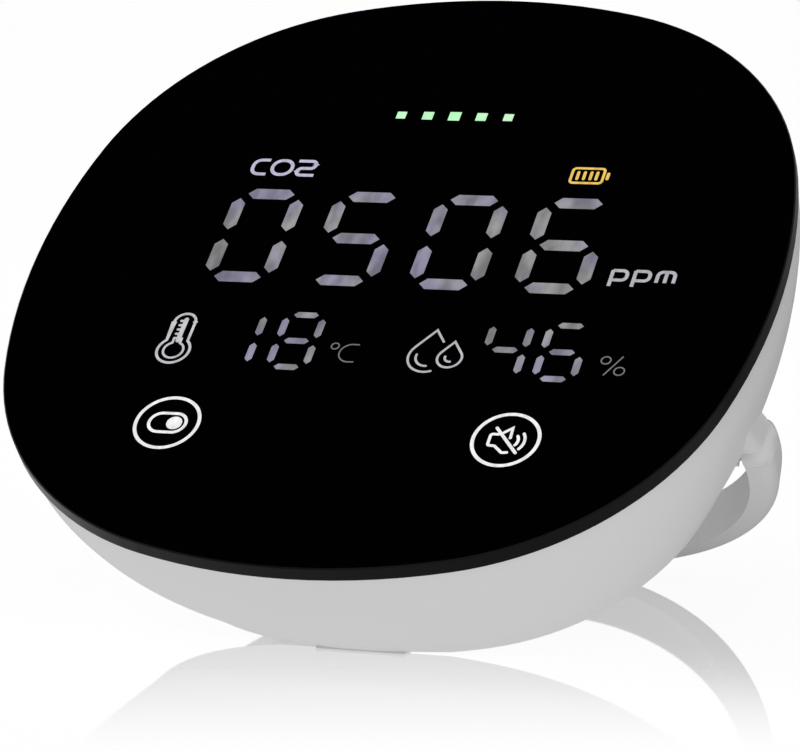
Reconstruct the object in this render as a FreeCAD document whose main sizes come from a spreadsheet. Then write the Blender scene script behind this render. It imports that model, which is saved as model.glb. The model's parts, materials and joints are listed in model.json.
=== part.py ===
"""Carbon dioxide monitor: a leaning, dish-backed indoor air meter on a fold-out loop stand.

Every piece is drawn in the panel frame: X to the right, Y up the glass, Z out of the glass,
with the origin at the centre of the glass's front face, so a depth is minus Z. LEANING then
lays the finished pieces back on the table: X right, Y away from the reader, Z up, with the
origin under the middle of the front foot. All lengths are in millimetres.
"""
import FreeCAD, Part
import math
import os
import re

from FreeCAD import Placement, Rotation, Vector

DOC = FreeCAD.newDocument("carbon_dioxide_monitor")

# ---------------------------------------------------------------- driving dimensions
SIZES = {
    # face
    "lean_angle": 40.22,            # glass above the table, degrees
    "glass_width": 120.0,
    "glass_thickness": 2.5,
    "glass_chamfer": 0.2,
    "side_radius": 93.9,            # the four long arcs of the outline
    "corner_radius": 46.2,          # the four corner arcs
    # rear shell
    "shell_front": 2.65,            # depth where the shell starts, a hair behind the glass
    "shell_depth": 34.1,            # from the glass front to the flat back
    "shell_rim_inset": 0.4,
    "shell_back_width": 96.6,
    "shell_back_rise": 1.1,
    "shell_wall": 2.2,
    "shell_back_wall": 4.0,
    "shell_fullness": 2.33,
    # what sits between the glass and the shell
    "tape_thickness": 0.4,
    "tape_width": 3.0,
    "frame_gap": 0.6,
    "frame_plate": 1.6,
    "frame_wall": 2.4,
    "frame_height": 4.0,
    "case_screw_x": 14.0,
    "case_screw_top": 40.5,
    "case_screw_bottom": 41.0,
    "case_post_end": 12.0,
    "case_post_radius": 3.2,
    "case_column_radius": 3.9,
    "case_seat_depth": 16.0,
    "case_screw_radius": 1.4,
    "case_screw_tip": 6.0,
    "case_head_radius": 2.6,
    "case_head_height": 2.0,
    "screw_clearance": 0.2,
    # display
    "digit_pitch": 16.72,
    "digit_middle": 5.8,
    "digit_bar": 7.7,
    "digit_bar_width": 2.2,
    "digit_half_width": 4.85,
    "digit_half_height": 8.95,
    "small_middle": -15.95,
    "small_bar": 4.0,
    "small_bar_width": 1.15,
    "small_half_width": 2.95,
    "small_half_height": 5.35,
    "level_rise": 33.05,
    "level_pitch": 4.43,
    "level_size": 1.55,             # the outermost lamp window
    "level_growth": 0.18,           # added at each step towards the middle one
    "film_thickness": 0.3,
    "block_width": 89.5,
    "block_bottom": -23.5,
    "block_top": 26.0,
    "block_gap": 0.1,
    "level_block_width": 24.0,
    "level_block_height": 6.0,
    "display_board_front": 8.4,
    "display_board_width": 90.0,
    "display_board_bottom": -37.0,
    "display_board_top": 36.0,
    "board_thickness": 1.6,
    "display_screw_x": 38.0,
    "display_screw_top": 31.0,
    "display_screw_bottom": 33.0,
    "small_screw_radius": 1.0,
    "small_head_radius": 2.0,
    "small_head_height": 1.4,
    "lug_radius": 2.5,
    "touch_spacing": 53.2,
    "touch_rise": -33.6,
    "touch_ring_radius": 5.0,
    "touch_ring_line": 0.55,
    "print_thickness": 0.05,
    "spring_radius": 3.0,
    "spring_wall": 0.35,
    "spring_room": 1.0,             # round the spring in the frame
    "well_margin": 0.5,             # round a large digit's lamps
    "small_well_margin": 0.3,       # beside a small digit's lamps
    "level_well_share": 0.75,       # of the pitch between lamp windows
    "led_size": 1.2,
    "led_height": 0.8,
    # electronics behind the display
    "battery_width": 50.0,
    "battery_height": 34.0,
    "battery_thickness": 5.0,
    "battery_rise": -3.0,
    "battery_pad_thickness": 1.0,
    "main_board_front": 22.0,
    "main_board_width": 54.0,
    "main_board_height": 48.0,
    "board_screw_inset": 3.5,       # from the board's edges
    "board_screw_reach": 5.0,       # into the shell's post
    "board_post_radius": 2.8,
    "sensor_width": 33.0,
    "sensor_height": 20.0,
    "sensor_thickness": 5.2,
    "sensor_inset": 2.5,            # from the board's left edge
    "sensor_y": 7.0,
    "filter_radius": 5.0,
    "filter_thickness": 0.4,
    "buzzer_radius": 6.0,
    "buzzer_height": 5.5,
    "buzzer_inset": 9.5,            # centre, from the board's right edge
    "buzzer_y": -11.0,
    "chip_size": 7.0,
    "chip_thickness": 1.0,
    "chip_y": 12.0,
    "part_length": 2.4,             # one of the row of small board parts
    "part_width": 1.5,
    "part_thickness": 1.2,
    "part_pitch": 4.2,
    "part_inset": 5.0,              # first centre, from the board's left edge
    "part_y": -12.0,
    "plug_length": 6.0,
    "plug_width": 4.0,
    "plug_x": -14.0,
    "plug_inset": 4.5,              # centre, from the board's lower edge
    "humidity_size": 3.0,
    "humidity_thickness": 1.1,
    "humidity_x": -10.0,
    "humidity_inset": 5.5,          # centre, from the board's lower edge
    "ribbon_width": 12.0,
    "ribbon_rise": 21.5,
    "ribbon_thickness": 0.3,
    "ribbon_socket_margin": 1.0,
    "ribbon_socket_width": 3.0,
    "ribbon_socket_height": 2.0,
    "usb_rise": -12.0,
    "usb_width": 9.0,
    "usb_height": 3.3,
    "usb_wall": 0.3,
    "usb_end_wall": 1.0,
    "usb_gap": 0.3,
    # vented cover on the flat back
    "cover_width": 46.0,
    "cover_thickness": 2.0,
    "cover_gap": 0.2,
    "cover_opening_width": 32.0,
    "cover_screw_x": 17.0,
    "cover_screw_skin": 0.4,        # left under the end of the screw's hole
    "vent_length": 20.0,
    "vent_width": 1.8,
    "vent_pitch": 4.0,
    "vent_lowest": -4.0,
    # loop stand
    "hinge_depth": 27.0,
    "hinge_rise": -7.6,
    "stand_half_width": 57.0,       # of the ellipse that the loop follows
    "stand_bend": 79.6,             # from the ellipse's widest line to its end
    "stand_head": 13.8,             # the widest line lies this far before the hinge
    "stand_thickness": 4.3,         # seen from the front
    "stand_band": 7.8,              # along the hinge's turning direction
    "stand_gap": 0.8,               # beside the folded loop
    "eye_gap": 0.3,                 # round the limbs' eyes
    "eye_room_length": 16.0,        # kept clear round the eyes, from the washers outward
    "stand_rear_round": 2.6,
    "stand_front_round": 2.0,
    "eye_round": 3.2,               # round each limb's eye and along the fairing ahead of it
    "hinge_pin_radius": 1.5,
    "hinge_play": 0.05,
    "hinge_head_radius": 2.5,
    "hinge_head_height": 1.0,
    "hinge_head_room": 2.0,         # kept clear inside the shell for the pin's head
    "hinge_pin_inner": 45.0,        # under the pin's head, inside the shell
    "hinge_pin_skin": 1.0,          # left in the limb past the end of the pin
    "hinge_boss_radius": 4.6,
    "shoulder_length": 16.0,        # of the shell's fairing ahead of the limb
    "washer_radius": 2.9,
    "washer_thickness": 0.7,
    # feet
    "shell_flat_depth": 0.8,
    "shell_flat_height": 0.3,
    "front_pad_length": 14.0,
    "front_pad_width": 3.0,
    "front_pad_thickness": 1.2,
    "stand_pad_length": 20.0,
    "stand_pad_width": 2.6,
    "stand_pad_thickness": 1.2,
    "stand_flat_depth": 1.6,
}
LOFT_STEPS = 9
LIT_SEGMENTS = {"zero": "abcdef", "one": "bc", "four": "bcfg", "five": "acdfg",
                "six": "acdefg", "eight": "abcdefg"}
CO2_READING = ("zero", "five", "zero", "six")
TEMPERATURE_READING = ("one", "eight")
HUMIDITY_READING = ("four", "six")
TEMPERATURE_X = (-20.9, -11.4)     # centres of the two temperature digits
HUMIDITY_X = (21.65, 30.5)
LEVEL_COUNT = 5
BOARD_PART_COUNT = 7
VENT_COUNT = 5

sheet = DOC.addObject("Spreadsheet::Sheet", "Sizes")
for row, (alias, number) in enumerate(SIZES.items(), start=1):
    sheet.set(f"A{row}", alias)
    sheet.set(f"B{row}", str(number))
    sheet.setAlias(f"B{row}", alias)
DOC.recompute()
ALIASES = re.compile(r"\b(" + "|".join(sorted(SIZES, key=len, reverse=True)) + r")\b")


def size(alias):
    """One driving dimension, read from the sheet."""
    return float(sheet.get(alias))


def bind(item, name, formula):
    """Tie a property of an object to a formula of the sheet's aliases."""
    item.setExpression(name, ALIASES.sub(r"Sizes.\1", str(formula)))


# ---------------------------------------------------------------- drawing helpers
def box(name, length, width, thickness, x="0", y="0", depth="0"):
    """A box centred on x and y, from a depth backwards."""
    item = DOC.addObject("Part::Box", name)
    bind(item, "Length", length)
    bind(item, "Width", width)
    bind(item, "Height", thickness)
    bind(item, "Placement.Base.x", f"({x}) - ({length}) / 2")
    bind(item, "Placement.Base.y", f"({y}) - ({width}) / 2")
    bind(item, "Placement.Base.z", f"-({depth}) - ({thickness})")
    return item


def rod(name, radius, length, x="0", y="0", depth="0"):
    """A cylinder square to the glass, from a depth backwards."""
    item = DOC.addObject("Part::Cylinder", name)
    bind(item, "Radius", radius)
    bind(item, "Height", length)
    bind(item, "Placement.Base.x", x)
    bind(item, "Placement.Base.y", y)
    bind(item, "Placement.Base.z", f"-({depth}) - ({length})")
    return item


def cross_rod(name, radius, inner, length, side):
    """A cylinder on the hinge line, from `inner` outwards on one side."""
    item = DOC.addObject("Part::Cylinder", name)
    item.Placement = Placement(Vector(), Rotation(Vector(0, 1, 0), 90 * side))
    bind(item, "Radius", radius)
    bind(item, "Height", length)
    bind(item, "Placement.Base.x", f"({inner}) * {side}")
    bind(item, "Placement.Base.y", "hinge_rise")
    bind(item, "Placement.Base.z", "-hinge_depth")
    return item


def solid(name, shape):
    """A piece whose shape comes straight from Part's own functions."""
    item = DOC.addObject("Part::Feature", name)
    item.Shape = shape
    return item


def union(name, items):
    """Several overlapping objects joined into one."""
    item = DOC.addObject("Part::MultiFuse", name)
    item.Shapes = items
    return item


def group(name, items):
    """Separate solids kept side by side in one node."""
    item = DOC.addObject("Part::Compound", name)
    item.Links = items
    return item


def minus(name, base, tools):
    """The base with every tool cut away."""
    item = DOC.addObject("Part::Cut", name)
    item.Base = base
    item.Tool = tools[0] if len(tools) == 1 else union(f"{name}_cuts", tools)
    return item


def common(name, base, tool):
    """What two objects share."""
    item = DOC.addObject("Part::Common", name)
    item.Base = base
    item.Tool = tool
    return item


def outline_arcs(half, rise=0.0):
    """The eight tangent arcs of the rounded-square outline, at a given half width."""
    scale = half / (size("glass_width") / 2)
    side = size("side_radius") * scale
    corner = size("corner_radius") * scale
    offset = side - half
    reach = side - corner
    centre = (-offset + math.sqrt(2 * reach ** 2 - offset ** 2)) / 2
    swing = math.atan2(centre, centre + offset)
    arcs = []
    for quarter in range(4):
        turn = quarter * math.pi / 2
        side_centre = Vector(-offset, 0, 0)
        corner_centre = Vector(centre, centre, 0)
        for middle, radius, start, end in (
            (side_centre, side, -swing, swing),
            (corner_centre, corner, swing, math.pi / 2 - swing),
        ):
            points = [middle + Vector(math.cos(a), math.sin(a), 0) * radius
                      for a in (start, (start + end) / 2, end)]
            turned = [Rotation(Vector(0, 0, 1), math.degrees(turn)).multVec(p) for p in points]
            arcs.append(Part.Arc(*[p + Vector(0, rise, 0) for p in turned]))
    return arcs


def outline_wire(half, depth, rise=0.0):
    """The outline as a closed wire at a depth behind the glass front."""
    edges = [arc.toShape() for arc in outline_arcs(half, rise)]
    wire = Part.Wire(edges)
    wire.translate(Vector(0, 0, -depth))
    return wire


def outline_body(name, half, thickness, depth, inner_half=None, rise=0.0):
    """A padded sketch of the outline, or of a ring between two outlines."""
    body = DOC.addObject("PartDesign::Body", name)
    sketch = body.newObject("Sketcher::SketchObject", f"{name}_sketch")
    plane = [item for item in body.Origin.OriginFeatures if item.Role == "XY_Plane"][0]
    sketch.AttachmentSupport = [(plane, "")]
    sketch.MapMode = "FlatFace"
    bind(sketch, "AttachmentOffset.Base.z", f"-({depth})")
    for width in (half, inner_half):
        if width:
            sketch.addGeometry(outline_arcs(width, rise), False)
    pad = body.newObject("PartDesign::Pad", f"{name}_pad")
    pad.Profile = sketch
    pad.Reversed = True
    bind(pad, "Length", thickness)
    DOC.recompute()
    body.Tip = pad
    return body


def plain_box(name, *sizes):
    """A node that is one box."""
    return group(name, [box(f"{name}_block", *sizes)])


def corners(name, maker, x, top, bottom):
    """Four like pieces at the corners of a rectangle: (suffix, x, y) given to the maker."""
    return [maker(f"{name}_{number}", f"{side} * ({x})", place)
            for number, (side, place) in enumerate(
                ((-1, top), (1, top), (-1, f"-({bottom})"), (1, f"-({bottom})")), start=1)]


def bar_face(x, y, length, width, upright, depth):
    """One segment of a digit: a bar with pointed ends."""
    tip = width / 2
    points = [(-length / 2, 0), (-length / 2 + tip, tip), (length / 2 - tip, tip),
              (length / 2, 0), (length / 2 - tip, -tip), (-length / 2 + tip, -tip)]
    if upright:
        points = [(v, u) for u, v in points]
    corners_3d = [Vector(x + u, y + v, -depth) for u, v in points]
    return Part.Face(Part.makePolygon(corners_3d + corners_3d[:1]))


def digit_bars(middle_x, middle_y, half_width, half_height, bar, width, letters):
    """Solids of the named segments of one digit, through the whole glass."""
    upright_bar = half_height - (width + (half_width * 2 - bar)) / 2
    places = {
        "a": (0, half_height, bar, False), "g": (0, 0, bar, False), "d": (0, -half_height, bar, False),
        "b": (half_width, half_height / 2, upright_bar, True),
        "c": (half_width, -half_height / 2, upright_bar, True),
        "e": (-half_width, -half_height / 2, upright_bar, True),
        "f": (-half_width, half_height / 2, upright_bar, True),
    }
    bars = []
    for letter in letters:
        x, y, length, upright = places[letter]
        face = bar_face(middle_x + x, middle_y + y, length, width, upright, 0)
        bars.append(face.extrude(Vector(0, 0, -size("glass_thickness"))))
    return bars


def big_digit(place, letters):
    """Segments of one digit of the carbon dioxide reading."""
    return digit_bars((place - 1.5) * size("digit_pitch"), size("digit_middle"),
                      size("digit_half_width"), size("digit_half_height"),
                      size("digit_bar"), size("digit_bar_width"), letters)


def small_digit(x, letters):
    """Segments of one digit of the temperature or humidity reading."""
    return digit_bars(x, size("small_middle"), size("small_half_width"), size("small_half_height"),
                      size("small_bar"), size("small_bar_width"), letters)


def idle(character):
    """The segments that a character leaves dark."""
    return "".join(letter for letter in "abcdefg" if letter not in LIT_SEGMENTS[character])


# ---------------------------------------------------------------- the shell's blanks
def shell_loft(rim_half, back_half, front, back):
    """The dish between two depths: an outline that shrinks faster towards the flat back."""
    wires = []
    for step in range(LOFT_STEPS + 1):
        angle = math.pi / 2 * step / LOFT_STEPS
        along = math.sin(angle)
        half = back_half + (rim_half - back_half) * math.cos(angle) ** size("shell_fullness")
        wires.append(outline_wire(half, front + (back - front) * along,
                                  size("shell_back_rise") * along))
    return Part.makeLoft(wires, True, False)


rim_half = size("glass_width") / 2 - size("shell_rim_inset")
outer_loft = shell_loft(rim_half, size("shell_back_width") / 2,
                        size("shell_front"), size("shell_depth"))
cavity_loft = shell_loft(rim_half - size("shell_wall"),
                         size("shell_back_width") / 2 - size("shell_wall"),
                         size("shell_front"), size("shell_depth") - size("shell_back_wall"))

# ---------------------------------------------------------------- how the monitor leans
lean = Rotation(Vector(1, 0, 0), size("lean_angle"))
leaning_dish = outer_loft.copy()
leaning_dish.Placement = Placement(Vector(), lean)
table_reach = 2 * size("glass_width")
below = Part.makePlane(2 * table_reach, 2 * table_reach,
                       Vector(-table_reach, -table_reach, -table_reach))
gap, touching, _ = leaning_dish.distToShape(below)
lowest = touching[0][0]
sunk = size("shell_flat_height") - size("shell_flat_depth")
LEANING = Placement(Vector(0, -lowest.y, sunk - lowest.z), lean)
UPRIGHT = LEANING.inverse()

# the loop's plane: its front corner reaches through the foot pad's flat to just under the table
hinge_point = LEANING.multVec(Vector(0, size("hinge_rise"), -size("hinge_depth")))
stand_reach = size("stand_bend") - size("stand_head")
half_band = size("stand_band") / 2
corner_drop = hinge_point.z - size("stand_pad_thickness") + size("stand_flat_depth")
stand_slope = math.asin(corner_drop / math.hypot(stand_reach, half_band)) - math.atan(
    half_band / stand_reach)
stand_swing = 90 - size("lean_angle") - math.degrees(stand_slope)
foot_y = (hinge_point.y + stand_reach * math.cos(stand_slope)
          - half_band * math.sin(stand_slope))


def table_box(name, length, width, bottom, top, y):
    """A box square to the table, centred on x = 0 and the given y, between two heights."""
    shape = Part.makeBox(length, width, top - bottom, Vector(-length / 2, y - width / 2, bottom))
    shape.Placement = UPRIGHT
    return solid(name, shape)


# ---------------------------------------------------------------- glass and its printing
lit = {
    "co2_digits": [bar for place, character in enumerate(CO2_READING)
                   for bar in big_digit(place, LIT_SEGMENTS[character])],
    "temperature_digits": [bar for x, character in zip(TEMPERATURE_X, TEMPERATURE_READING)
                           for bar in small_digit(x, LIT_SEGMENTS[character])],
    "humidity_digits": [bar for x, character in zip(HUMIDITY_X, HUMIDITY_READING)
                        for bar in small_digit(x, LIT_SEGMENTS[character])],
    "idle_segments": [bar for place, character in enumerate(CO2_READING)
                      for bar in big_digit(place, idle(character))]
                     + [bar for x, character in zip(TEMPERATURE_X + HUMIDITY_X,
                                                    TEMPERATURE_READING + HUMIDITY_READING)
                        for bar in small_digit(x, idle(character))],
}
for name, bars in lit.items():
    solid(name, Part.makeCompound(bars))

LEVEL_STEPS = [number - (LEVEL_COUNT - 1) / 2 for number in range(LEVEL_COUNT)]
level_windows = []
for number, step in enumerate(LEVEL_STEPS):
    side = f"level_size + {(LEVEL_COUNT - 1) / 2 - abs(step)} * level_growth"
    level_windows.append(box(f"level_window_{number}", side, side, "glass_thickness",
                             f"{step} * level_pitch", "level_rise"))
group("level_windows", level_windows)

glass_blank = outline_body("glass_blank", size("glass_width") / 2, "glass_thickness", "0")
glass_pad = glass_blank.Tip
glass_edge = glass_blank.newObject("PartDesign::Chamfer", "glass_edge")
front_edges = [f"Edge{number}" for number, edge in enumerate(glass_pad.Shape.Edges, start=1)
               if all(abs(vertex.Z) < 1e-6 for vertex in edge.Vertexes)]
glass_edge.Base = (glass_pad, front_edges)
bind(glass_edge, "Size", "glass_chamfer")
DOC.recompute()
glass_blank.Tip = glass_edge
window_cuts = [solid(f"{name}_cut", Part.makeCompound(bars)) for name, bars in lit.items()]
window_cuts.append(group("level_cut", level_windows))
all_windows = group("window_cuts", window_cuts)
minus("front_glass", glass_blank, [all_windows])


def touch_ring(name, side):
    """A thin printed circle round one touch key, on the glass's back face."""
    outer = rod(f"{name}_outer", "touch_ring_radius + touch_ring_line / 2", "print_thickness",
                f"{side} * touch_spacing / 2", "touch_rise", "glass_thickness")
    inner = rod(f"{name}_inner", "touch_ring_radius - touch_ring_line / 2", "print_thickness",
                f"{side} * touch_spacing / 2", "touch_rise", "glass_thickness")
    return minus(name, outer, [inner])


group("touch_rings", [touch_ring("touch_ring_left", -1), touch_ring("touch_ring_right", 1)])

# ---------------------------------------------------------------- frame behind the glass
frame_half = rim_half - size("shell_wall") - size("frame_gap")
frame_front = "glass_thickness + tape_thickness"
outline_body("glass_tape", frame_half, "tape_thickness", "glass_thickness",
             frame_half - size("tape_width"))

frame_plate = outline_body("frame_plate_blank", frame_half, "frame_plate", frame_front)
frame_rim = outline_body("frame_rim", frame_half, "frame_height", frame_front,
                         frame_half - size("frame_wall"))
plate_back = f"{frame_front} + frame_plate"
frame_posts = corners("frame_post", lambda name, x, y: rod(
    name, "case_post_radius", f"case_post_end - ({plate_back})", x, y, plate_back),
    "case_screw_x", "case_screw_top", "case_screw_bottom")
frame_lugs = corners("frame_lug", lambda name, x, y: rod(
    name, "lug_radius", f"display_board_front - ({plate_back})", x, y, plate_back),
    "display_screw_x", "display_screw_top", "display_screw_bottom")
frame_blank = union("frame_blank", [frame_plate, frame_rim] + frame_posts + frame_lugs)
block_middle = "(block_top + block_bottom) / 2"
frame_cuts = [
    box("block_opening", "block_width + 2 * block_gap", "block_top - block_bottom + 2 * block_gap",
        "frame_plate", "0", block_middle, frame_front),
    box("level_opening", "level_block_width + 2 * block_gap", "level_block_height + 2 * block_gap",
        "frame_plate", "0", "level_rise", frame_front),
]
frame_cuts += [rod(f"spring_opening_{side + 2}", "spring_radius + spring_room", "frame_plate",
                   f"{side} * touch_spacing / 2", "touch_rise", frame_front) for side in (-1, 1)]
frame_cuts += corners("post_pilot", lambda name, x, y: rod(
    name, "case_screw_radius", "case_post_end - case_screw_tip", x, y, "case_screw_tip"),
    "case_screw_x", "case_screw_top", "case_screw_bottom")
frame_cuts += corners("lug_pilot", lambda name, x, y: rod(
    name, "small_screw_radius", f"display_board_front - ({plate_back})", x, y, plate_back),
    "display_screw_x", "display_screw_top", "display_screw_bottom")
minus("front_frame", frame_blank, frame_cuts)

# ---------------------------------------------------------------- display stack
plain_box("diffuser_film", "block_width", "block_top - block_bottom", "film_thickness",
          "0", block_middle, "glass_thickness + print_thickness")

block_front = "glass_thickness + print_thickness + film_thickness"
block_blanks = [
    box("block_blank", "block_width", "block_top - block_bottom",
        f"display_board_front - ({block_front})", "0", block_middle, block_front),
    box("level_block_blank", "level_block_width", "level_block_height",
        f"display_board_front - ({block_front})", "0", "level_rise", block_front),
]
wells = [box(f"digit_well_{place}", "2 * digit_half_width + digit_bar_width + 2 * well_margin",
             "2 * digit_half_height + digit_bar_width + 2 * well_margin",
             f"display_board_front - ({block_front})",
             f"{place - 1.5} * digit_pitch", "digit_middle", block_front) for place in range(4)]
wells += [box(f"small_well_{number}", "2 * small_half_width + small_bar_width + 2 * small_well_margin",
              "2 * small_half_height + small_bar_width + 2 * well_margin",
              f"display_board_front - ({block_front})", str(x), "small_middle", block_front)
          for number, x in enumerate(TEMPERATURE_X + HUMIDITY_X)]
wells += [box(f"level_well_{number}", "level_pitch * level_well_share",
              "level_pitch * level_well_share", f"display_board_front - ({block_front})",
              f"{step} * level_pitch", "level_rise", block_front)
          for number, step in enumerate(LEVEL_STEPS)]
minus("light_block", group("block_blanks", block_blanks), wells)


def leds(name, x, y, half_width, half_height):
    """One lamp behind each segment of a digit."""
    places = [(0, 1), (0, 0), (0, -1), (1, 0.5), (1, -0.5), (-1, 0.5), (-1, -0.5)]
    return [box(f"{name}_{number}", "led_size", "led_size", "led_height",
                f"({x}) + {u} * {half_width}", f"({y}) + {v} * {half_height}",
                "display_board_front - led_height") for number, (u, v) in enumerate(places)]


lamps = []
for place in range(4):
    lamps += leds(f"digit_lamp_{place}", f"{place - 1.5} * digit_pitch", "digit_middle",
                  "digit_half_width", "digit_half_height")
for number, x in enumerate(TEMPERATURE_X + HUMIDITY_X):
    lamps += leds(f"small_lamp_{number}", x, "small_middle", "small_half_width", "small_half_height")
lamps += [box(f"level_lamp_{number}", "led_size", "led_size", "led_height",
              f"{step} * level_pitch", "level_rise", "display_board_front - led_height")
          for number, step in enumerate(LEVEL_STEPS)]
group("display_leds", lamps)

display_blank = box("display_board_blank", "display_board_width",
                    "display_board_top - display_board_bottom", "board_thickness", "0",
                    "(display_board_top + display_board_bottom) / 2", "display_board_front")
minus("display_board", display_blank, corners("display_hole", lambda name, x, y: rod(
    name, "small_screw_radius + screw_clearance", "board_thickness", x, y, "display_board_front"),
    "display_screw_x", "display_screw_top", "display_screw_bottom"))

display_back = "display_board_front + board_thickness"


def screw(name, x, y, head_radius, head_height, radius, seat, tip):
    """A pan-head screw driven from behind: its head sits at the seat and its tip points forward."""
    head = rod(f"{name}_head", head_radius, head_height, x, y, seat)
    shank = rod(f"{name}_shank", radius, f"({seat}) - ({tip})", x, y, tip)
    slot = box(f"{name}_slot", f"2 * {head_radius}", f"{head_radius} / 4", f"{head_height} / 2",
               x, y, f"({seat}) + {head_height} / 2")
    return minus(name, union(f"{name}_blank", [head, shank]), [slot])


group("display_screws", corners("display_screw", lambda name, x, y: screw(
    name, x, y, "small_head_radius", "small_head_height", "small_screw_radius", display_back, plate_back),
    "display_screw_x", "display_screw_top", "display_screw_bottom"))


def touch_spring(name, side):
    """A touch key's contact spring, drawn as a sleeve between the board and the glass."""
    x = f"{side} * touch_spacing / 2"
    length = "display_board_front - glass_thickness - print_thickness"
    front = "glass_thickness + print_thickness"
    outer = rod(f"{name}_outer", "spring_radius", length, x, "touch_rise", front)
    inner = rod(f"{name}_inner", "spring_radius - spring_wall", length, x, "touch_rise", front)
    return minus(name, outer, [inner])


group("touch_springs", [touch_spring("touch_spring_left", -1), touch_spring("touch_spring_right", 1)])

# ---------------------------------------------------------------- battery and main board
plain_box("battery_pad", "battery_width", "battery_height", "battery_pad_thickness",
          "0", "battery_rise", display_back)
battery_front = f"{display_back} + battery_pad_thickness"
battery = box("battery_block", "battery_width", "battery_height", "battery_thickness",
              "0", "battery_rise", battery_front)
battery_cell = DOC.addObject("Part::Fillet", "battery_cell")
battery_cell.Base = battery
DOC.recompute()
long_edges = [number for number, edge in enumerate(battery.Shape.Edges, start=1)
              if abs(edge.Length - size("battery_height")) < 1e-6]
battery_cell.Edges = [(number, size("battery_thickness") / 4, size("battery_thickness") / 4)
                      for number in long_edges]

board_screw_x = "main_board_width / 2 - board_screw_inset"
board_screw_y = "main_board_height / 2 - board_screw_inset"
main_blank = box("main_board_blank", "main_board_width", "main_board_height", "board_thickness",
                 "0", "0", "main_board_front")
minus("main_board", main_blank, corners("main_hole", lambda name, x, y: rod(
    name, "small_screw_radius + screw_clearance", "board_thickness", x, y, "main_board_front"),
    board_screw_x, board_screw_y, board_screw_y))


def forward_screw(name, x, y):
    """A board screw driven from the front, through the main board into the shell's post."""
    head = rod(f"{name}_head", "small_head_radius", "small_head_height", x, y,
               "main_board_front - small_head_height")
    shank = rod(f"{name}_shank", "small_screw_radius", "board_thickness + board_screw_reach",
                x, y, "main_board_front")
    return union(name, [head, shank])


group("board_screws", corners("board_screw", forward_screw,
                              board_screw_x, board_screw_y, board_screw_y))

sensor_front = "main_board_front - sensor_thickness"
sensor_x = "sensor_width / 2 + sensor_inset - main_board_width / 2"
buzzer_x = "main_board_width / 2 - buzzer_inset"
plain_box("co2_sensor", "sensor_width", "sensor_height", "sensor_thickness",
          sensor_x, "sensor_y", sensor_front)
group("sensor_filter", [rod("sensor_filter_disc", "filter_radius", "filter_thickness", sensor_x,
                            "sensor_y", f"{sensor_front} - filter_thickness")])
buzzer_blank = rod("buzzer_blank", "buzzer_radius", "buzzer_height", buzzer_x, "buzzer_y",
                   "main_board_front - buzzer_height")
minus("buzzer", buzzer_blank, [rod("buzzer_mouth", "buzzer_radius / 5", "buzzer_height / 2",
                                   buzzer_x, "buzzer_y", "main_board_front - buzzer_height")])
plain_box("controller_chip", "chip_size", "chip_size", "chip_thickness", buzzer_x, "chip_y",
          "main_board_front - chip_thickness")
group("board_parts", [box(f"board_part_{number}", "part_length", "part_width", "part_thickness",
                          f"part_inset + {number} * part_pitch - main_board_width / 2", "part_y",
                          "main_board_front - part_thickness") for number in range(BOARD_PART_COUNT)])
plain_box("battery_plug", "plug_length", "plug_width", "plug_width", "plug_x",
          "plug_inset - main_board_height / 2", "main_board_front - plug_width")
main_back = "main_board_front + board_thickness"
plain_box("humidity_sensor", "humidity_size", "humidity_size", "humidity_thickness", "humidity_x",
          "humidity_inset - main_board_height / 2", main_back)
ribbon_socket_length = "ribbon_width + 2 * ribbon_socket_margin"
group("ribbon_sockets", [
    box("ribbon_socket_front", ribbon_socket_length, "ribbon_socket_width", "ribbon_socket_height",
        "0", "ribbon_rise", display_back),
    box("ribbon_socket_back", ribbon_socket_length, "ribbon_socket_width", "ribbon_socket_height",
        "0", "ribbon_rise", "main_board_front - ribbon_socket_height")])
plain_box("ribbon_cable", "ribbon_width", "ribbon_thickness",
          f"main_board_front - 2 * ribbon_socket_height - ({display_back})", "0", "ribbon_rise",
          f"{display_back} + ribbon_socket_height")

cover_front = "shell_depth - cover_thickness"


def rounded_slot(name, length, height, thickness, y, depth):
    """A slot with round ends, lying along X."""
    ends = [rod(f"{name}_end_{side + 2}", f"({height}) / 2", thickness,
                f"{side} * (({length}) - ({height})) / 2", y, depth) for side in (-1, 1)]
    return union(name, ends + [box(f"{name}_middle", f"({length}) - ({height})", height,
                                   thickness, "0", y, depth)])


usb_length = f"{cover_front} - ({main_back})"
usb_tongue = box("usb_tongue", "usb_width * 0.7", "usb_height / 4", f"{usb_length} - usb_end_wall",
                 "0", "usb_rise", main_back)
usb_tube = minus("usb_tube", rounded_slot("usb_outer", "usb_width", "usb_height", usb_length,
                                          "usb_rise", main_back),
                 [rounded_slot("usb_inner", "usb_width - 2 * usb_wall", "usb_height - 2 * usb_wall",
                               f"{usb_length} - usb_end_wall", "usb_rise",
                               f"{main_back} + usb_end_wall")])
union("usb_socket", [usb_tube, usb_tongue])

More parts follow.
